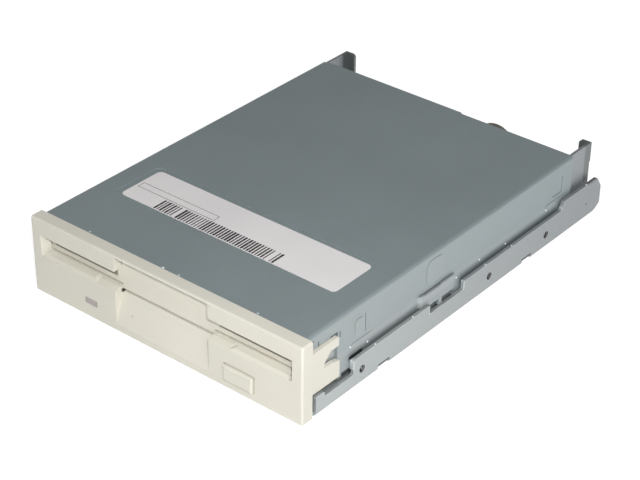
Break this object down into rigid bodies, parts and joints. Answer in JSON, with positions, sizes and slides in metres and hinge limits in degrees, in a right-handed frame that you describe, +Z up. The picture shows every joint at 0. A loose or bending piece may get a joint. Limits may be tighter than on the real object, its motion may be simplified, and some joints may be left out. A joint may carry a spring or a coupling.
{
  "type": "floppy disk drive",
  "caption": "Flat steel-cased 3.5-inch floppy disk drive with a cream front, a sprung dust door, an eject button, a loading mechanism, a spindle and moving heads.",
  "frame": {"origin": "under the middle of the drive, at the height of its resting flanges; the button's stand counts in the depth", "axes": "+X to the right seen from the front, +Y from the bezel to the connectors, +Z up"},
  "size_m": [0.1016, 0.147, 0.0254],
  "materials": {
    "zinc_steel": "zinc-coated sheet",
    "cover_steel": "zinc-coated sheet",
    "slide_steel": "plated sheet",
    "bright_steel": "ground",
    "spring_steel": "drawn wire",
    "core_steel": "stacked laminations",
    "stepper_steel": "dark plated can",
    "brass": "turned",
    "copper_wire": "enamelled windings",
    "gold_pin": "gilt pins",
    "tin_pin": "tinned pins",
    "magnet": "sintered",
    "ivory_plastic": "fine moulded grain",
    "door_plastic": "fine moulded grain",
    "lamp_plastic": "translucent lens",
    "black_plastic": "moulded",
    "carriage_plastic": "glass-filled, moulded",
    "white_plastic": "moulded",
    "chip_plastic": "moulded package",
    "motor_board": "solder-masked board",
    "main_board": "solder-masked board",
    "ceramic": "polished",
    "cable_film": "polyimide film"
  },
  "bodies": {
    "chassis": {"chassis_frame": "zinc_steel", "guide_wall_right": "zinc_steel", "guide_wall_left": "zinc_steel", "guide_rivets": "bright_steel", "top_cover": "cover_steel", "front_bezel": "ivory_plastic", "activity_lamp": "lamp_plastic", "door_spring": "spring_steel", "eject_springs": "spring_steel", "spring_posts": "bright_steel", "latch_post": "bright_steel", "latch_spring": "spring_steel", "motor_board": "motor_board", "deck_screws": "bright_steel", "spindle_bearing": "brass", "stator_core": "core_steel", "stator_coils": "copper_wire", "index_sensor": "black_plastic", "front_switches": "black_plastic", "height_posts": "bright_steel", "guide_rod": "bright_steel", "rod_clamps": "black_plastic", "stepper_motor": "stepper_steel", "stepper_bracket": "zinc_steel", "screw_end_bearing": "brass", "track_zero_sensor": "black_plastic", "head_cable": "cable_film", "cable_socket": "white_plastic", "signal_header": "black_plastic", "signal_header_pins": "gold_pin", "power_header": "white_plastic", "power_header_pins": "tin_pin", "main_board": "main_board", "board_screws": "bright_steel", "board_chips": "chip_plastic"},
    "dust_door": {"door_flap": "door_plastic"},
    "eject_slide": {"slide_plate": "slide_steel", "eject_button": "ivory_plastic"},
    "carrier": {"disk_carrier": "slide_steel", "shutter_post": "bright_steel", "shutter_spring": "spring_steel"},
    "shutter_arm": {"shutter_lever": "black_plastic"},
    "latch": {"latch_lever": "black_plastic"},
    "spindle": {"rotor_yoke": "bright_steel", "rotor_magnet": "magnet", "spindle_shaft": "bright_steel", "disk_chuck": "magnet", "drive_pin": "bright_steel"},
    "carriage": {"head_carriage": "carriage_plastic", "follower_pin": "bright_steel", "lower_head": "ceramic", "arm_pin": "bright_steel", "arm_spring": "spring_steel"},
    "head_arm": {"upper_arm": "carriage_plastic", "upper_head": "ceramic"},
    "screw": {"lead_screw": "bright_steel"},
    "write_protect_button": {"write_protect_plunger": "white_plastic"},
    "density_button": {"density_plunger": "white_plastic"},
    "disk_in_button": {"disk_in_plunger": "white_plastic"}
  },
  "joints": [
    {"name": "door_swing", "type": "hinge", "parent": "chassis", "child": "dust_door", "pos_m": [0, -0.0676, 0.0222], "axis": [1, 0, 0], "range_deg": [0, 88], "stiffness_Nm_per_rad": 0.0005, "springref_deg": -17.19, "deforming": ["door_spring"]},
    {"name": "eject_move", "type": "slide", "parent": "chassis", "child": "eject_slide", "axis": [0, -1, 0], "range_m": [0, 0.0065], "deforming": ["eject_springs", "latch_spring", "arm_spring"]},
    {"name": "carrier_drop", "type": "slide", "parent": "chassis", "child": "carrier", "axis": [0, 0, -1], "range_m": [0, 0.002]},
    {"name": "shutter_turn", "type": "hinge", "parent": "carrier", "child": "shutter_arm", "pos_m": [0.04, 0.0195, 0.0212], "axis": [0, 0, -1], "range_deg": [0, 57], "stiffness_Nm_per_rad": 0.002, "springref_deg": -17.19, "deforming": ["shutter_spring"]},
    {"name": "latch_turn", "type": "hinge", "parent": "chassis", "child": "latch", "pos_m": [-0.0435, 0.0415, 0.0077], "axis": [0, 0, 1], "range_deg": [0, 7]},
    {"name": "spindle_turn", "type": "hinge", "parent": "chassis", "child": "spindle", "pos_m": [0, -0.0215, 0.01], "axis": [0, 0, 1], "continuous": true},
    {"name": "head_move", "type": "slide", "parent": "chassis", "child": "carriage", "axis": [0, -1, 0], "range_m": [0, 0.0148], "deforming": ["head_cable"]},
    {"name": "screw_turn", "type": "hinge", "parent": "chassis", "child": "screw", "pos_m": [0.017, 0.0355, 0.015], "axis": [0, 1, 0], "range_deg": [0, 1776]},
    {"name": "arm_lower", "type": "hinge", "parent": "carriage", "child": "head_arm", "pos_m": [0, 0.0405, 0.0204], "axis": [1, 0, 0], "range_deg": [0, 11]},
    {"name": "write_protect_press", "type": "slide", "parent": "chassis", "child": "write_protect_button", "axis": [0, 0, -1], "range_m": [0, 0.0012], "stiffness_N_per_m": 100, "springref_m": -0.001},
    {"name": "density_press", "type": "slide", "parent": "chassis", "child": "density_button", "axis": [0, 0, -1], "range_m": [0, 0.0012], "stiffness_N_per_m": 100, "springref_m": -0.001},
    {"name": "disk_in_press", "type": "slide", "parent": "chassis", "child": "disk_in_button", "axis": [0, 0, -1], "range_m": [0, 0.0012], "stiffness_N_per_m": 100, "springref_m": -0.001}
  ],
  "couplings": [
    {"joint": "carrier_drop", "follows": "eject_move", "ratio": 0.30769},
    {"joint": "latch_turn", "follows": "eject_move", "rad_per_m": 18.796},
    {"joint": "arm_lower", "follows": "eject_move", "rad_per_m": 29.536},
    {"joint": "screw_turn", "follows": "head_move", "rad_per_m": 2094.4}
  ]
}
